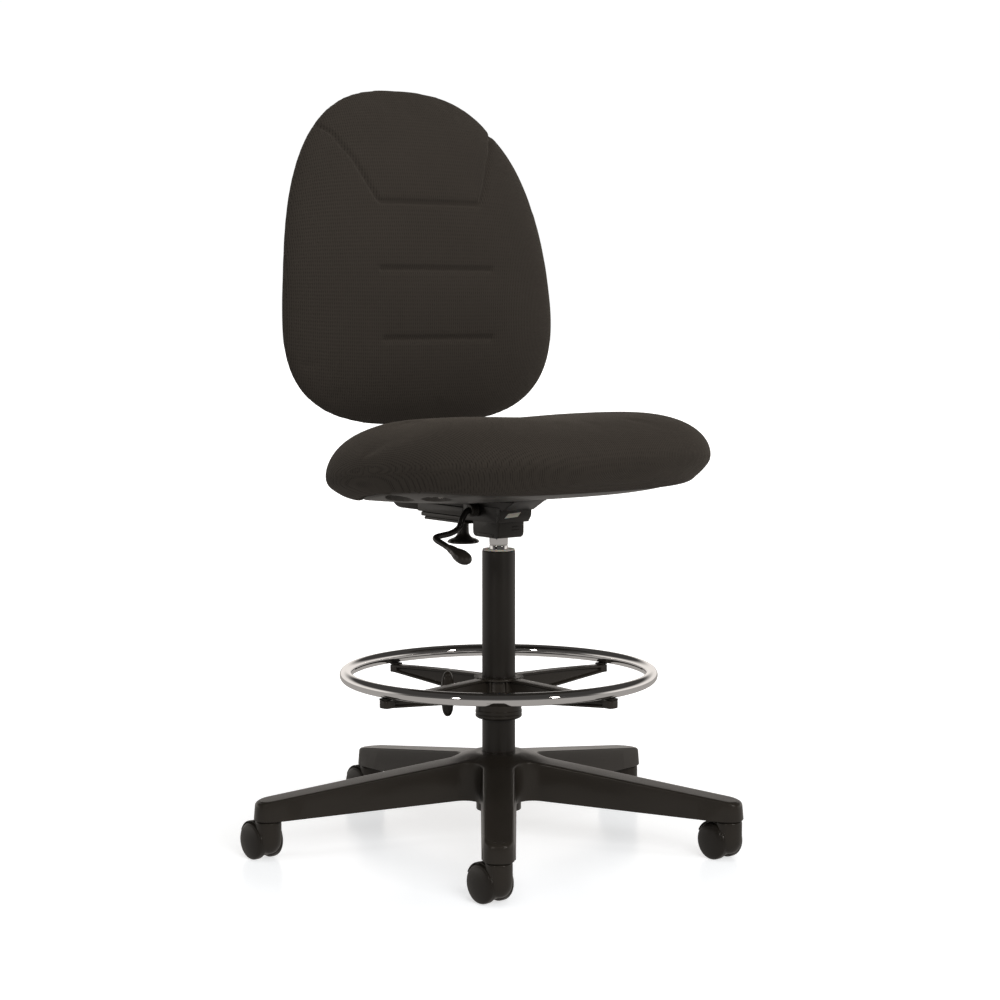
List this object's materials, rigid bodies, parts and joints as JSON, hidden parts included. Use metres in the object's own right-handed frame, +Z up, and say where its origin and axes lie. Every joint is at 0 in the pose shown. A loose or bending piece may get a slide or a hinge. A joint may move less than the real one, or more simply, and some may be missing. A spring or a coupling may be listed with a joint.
{
  "type": "drafting chair",
  "caption": "Swivel drafting chair with star base on casters, gas column, clamped footring, tilt mechanism, contoured seat and egg-shaped back.",
  "frame": {"origin": "centre of the whole chair's footprint, on the floor", "axes": "+Z up; the sitter faces -Y; the sitter's right is -X"},
  "size_m": [0.7246, 0.7114, 1.146],
  "materials": {
    "fabric_knit": "three-dimensional spacer knit, matt",
    "black_plastic": "moulded nylon, satin",
    "pan_plastic": "moulded polypropylene, fine texture",
    "wheel_plastic": "moulded nylon, satin",
    "black_steel": "black powder coat, satin",
    "chrome_plate": "polished chrome plate",
    "zinc_steel": "zinc plated",
    "natural_nylon": "natural nylon",
    "soft_rubber": "matt"
  },
  "bodies": {
    "base": {"star_base": "black_plastic", "column_tube": "black_steel", "guide_bush": "natural_nylon"},
    "gas_rod": {"piston_rod": "zinc_steel", "thrust_bearing": "zinc_steel", "retaining_clip": "zinc_steel"},
    "tilt_base": {"pressure_tube": "chrome_plate", "tilt_housing": "black_steel", "pivot_pin": "zinc_steel"},
    "valve": {"valve_button": "zinc_steel"},
    "seat_assembly": {"chassis": "black_steel", "spring_housing": "black_plastic", "seat_plate": "black_steel", "seat_bolt_1": "zinc_steel", "seat_bolt_2": "zinc_steel", "seat_bolt_3": "zinc_steel", "seat_bolt_4": "zinc_steel", "lever_bush": "black_plastic", "seat_cushion": "fabric_knit", "seat_pan": "pan_plastic", "back_bar": "black_plastic"},
    "tension_adjuster": {"tension_knob": "black_plastic", "tension_screw": "zinc_steel"},
    "lever": {"lever_rod": "black_steel", "lever_paddle": "black_plastic"},
    "backrest": {"back_bracket": "black_plastic", "back_cushion": "fabric_knit", "back_shell": "black_plastic"},
    "footring": {"foot_ring": "chrome_plate", "ring_spider": "black_plastic", "clamp_collar": "black_plastic", "ring_pad_1": "soft_rubber", "ring_pad_2": "soft_rubber", "ring_pad_3": "soft_rubber", "ring_pad_4": "soft_rubber"},
    "ring_clamp": {"clamp_screw": "zinc_steel", "wing_knob": "black_plastic"},
    "caster_1": {"caster_1_hood": "black_plastic", "caster_1_axle": "zinc_steel"},
    "caster_1_wheel_a": {"caster_1_wheel_a": "wheel_plastic"},
    "caster_1_wheel_b": {"caster_1_wheel_b": "wheel_plastic"},
    "caster_2": {"caster_2_hood": "black_plastic", "caster_2_axle": "zinc_steel"},
    "caster_2_wheel_a": {"caster_2_wheel_a": "wheel_plastic"},
    "caster_2_wheel_b": {"caster_2_wheel_b": "wheel_plastic"},
    "caster_3": {"caster_3_hood": "black_plastic", "caster_3_axle": "zinc_steel"},
    "caster_3_wheel_a": {"caster_3_wheel_a": "wheel_plastic"},
    "caster_3_wheel_b": {"caster_3_wheel_b": "wheel_plastic"},
    "caster_4": {"caster_4_hood": "black_plastic", "caster_4_axle": "zinc_steel"},
    "caster_4_wheel_a": {"caster_4_wheel_a": "wheel_plastic"},
    "caster_4_wheel_b": {"caster_4_wheel_b": "wheel_plastic"},
    "caster_5": {"caster_5_hood": "black_plastic", "caster_5_axle": "zinc_steel"},
    "caster_5_wheel_a": {"caster_5_wheel_a": "wheel_plastic"},
    "caster_5_wheel_b": {"caster_5_wheel_b": "wheel_plastic"}
  },
  "joints": [
    {"name": "swivel", "type": "hinge", "parent": "base", "child": "gas_rod", "pos_m": [-0.00097, -0.04526, 0.06], "axis": [0, 0, 1], "continuous": true},
    {"name": "height", "type": "slide", "parent": "gas_rod", "child": "tilt_base", "axis": [0, 0, 1], "range_m": [0, 0.25]},
    {"name": "tilt", "type": "hinge", "parent": "tilt_base", "child": "seat_assembly", "pos_m": [-0.00097, -0.06726, 0.5], "axis": [-1, 0, 0], "range_deg": [0, 12], "stiffness_Nm_per_rad": 90, "springref_deg": -20.05},
    {"name": "lever_lift", "type": "hinge", "parent": "seat_assembly", "child": "lever", "pos_m": [-0.03797, -0.02926, 0.506], "axis": [-1, 0, 0], "range_deg": [0, 12], "stiffness_Nm_per_rad": 1.5, "springref_deg": -5.73},
    {"name": "valve_press", "type": "slide", "parent": "tilt_base", "child": "valve", "axis": [0, 0, -1], "range_m": [0, 0.0035], "stiffness_N_per_m": 500, "springref_m": -0.001},
    {"name": "tension_turn", "type": "hinge", "parent": "seat_assembly", "child": "tension_adjuster", "pos_m": [-0.00097, 0.04474, 0.465], "axis": [0, 0, 1], "continuous": true},
    {"name": "back_height", "type": "slide", "parent": "seat_assembly", "child": "backrest", "axis": [0, 0, 1], "range_m": [0, 0.06]},
    {"name": "ring_height", "type": "slide", "parent": "base", "child": "footring", "axis": [0, 0, 1], "range_m": [-0.045, 0.12]},
    {"name": "ring_clamp_turn", "type": "hinge", "parent": "footring", "child": "ring_clamp", "pos_m": [-0.0409, -0.01517, 0.227], "axis": [-0.7986, 0.6018, 0], "continuous": true},
    {"name": "caster_1_swivel", "type": "hinge", "parent": "base", "child": "caster_1", "pos_m": [0.33852, 0.05853, 0.058], "axis": [0, 0, 1], "continuous": true},
    {"name": "caster_1_roll_a", "type": "hinge", "parent": "caster_1", "child": "caster_1_wheel_a", "pos_m": [0.33757, 0.07651, 0.02716], "axis": [-0.9986, -0.0523, 0], "continuous": true},
    {"name": "caster_1_roll_b", "type": "hinge", "parent": "caster_1", "child": "caster_1_wheel_b", "pos_m": [0.33757, 0.07651, 0.02716], "axis": [-0.9986, -0.0523, 0], "continuous": true},
    {"name": "caster_2_swivel", "type": "hinge", "parent": "base", "child": "caster_2", "pos_m": [0.00522, 0.30969, 0.058], "axis": [0, 0, 1], "continuous": true},
    {"name": "caster_2_roll_a", "type": "hinge", "parent": "caster_2", "child": "caster_2_wheel_a", "pos_m": [0.00428, 0.32766, 0.02716], "axis": [-0.9986, -0.0523, 0], "continuous": true},
    {"name": "caster_2_roll_b", "type": "hinge", "parent": "caster_2", "child": "caster_2_wheel_b", "pos_m": [0.00428, 0.32766, 0.02716], "axis": [-0.9986, -0.0523, 0], "continuous": true},
    {"name": "caster_3_swivel", "type": "hinge", "parent": "base", "child": "caster_3", "pos_m": [-0.33663, 0.07032, 0.058], "axis": [0, 0, 1], "continuous": true},
    {"name": "caster_3_roll_a", "type": "hinge", "parent": "caster_3", "child": "caster_3_wheel_a", "pos_m": [-0.33757, 0.08829, 0.02716], "axis": [-0.9986, -0.0523, 0], "continuous": true},
    {"name": "caster_3_roll_b", "type": "hinge", "parent": "caster_3", "child": "caster_3_wheel_b", "pos_m": [-0.33757, 0.08829, 0.02716], "axis": [-0.9986, -0.0523, 0], "continuous": true},
    {"name": "caster_4_swivel", "type": "hinge", "parent": "base", "child": "caster_4", "pos_m": [-0.21462, -0.32877, 0.058], "axis": [0, 0, 1], "continuous": true},
    {"name": "caster_4_roll_a", "type": "hinge", "parent": "caster_4", "child": "caster_4_wheel_a", "pos_m": [-0.21556, -0.3108, 0.02716], "axis": [-0.9986, -0.0523, 0], "continuous": true},
    {"name": "caster_4_roll_b", "type": "hinge", "parent": "caster_4", "child": "caster_4_wheel_b", "pos_m": [-0.21556, -0.3108, 0.02716], "axis": [-0.9986, -0.0523, 0], "continuous": true},
    {"name": "caster_5_swivel", "type": "hinge", "parent": "base", "child": "caster_5", "pos_m": [0.20265, -0.33606, 0.058], "axis": [0, 0, 1], "continuous": true},
    {"name": "caster_5_roll_a", "type": "hinge", "parent": "caster_5", "child": "caster_5_wheel_a", "pos_m": [0.2017, -0.31808, 0.02716], "axis": [-0.9986, -0.0523, 0], "continuous": true},
    {"name": "caster_5_roll_b", "type": "hinge", "parent": "caster_5", "child": "caster_5_wheel_b", "pos_m": [0.2017, -0.31808, 0.02716], "axis": [-0.9986, -0.0523, 0], "continuous": true}
  ],
  "couplings": [
    {"joint": "valve_press", "follows": "lever_lift", "m_per_rad": 0.0167}
  ]
}
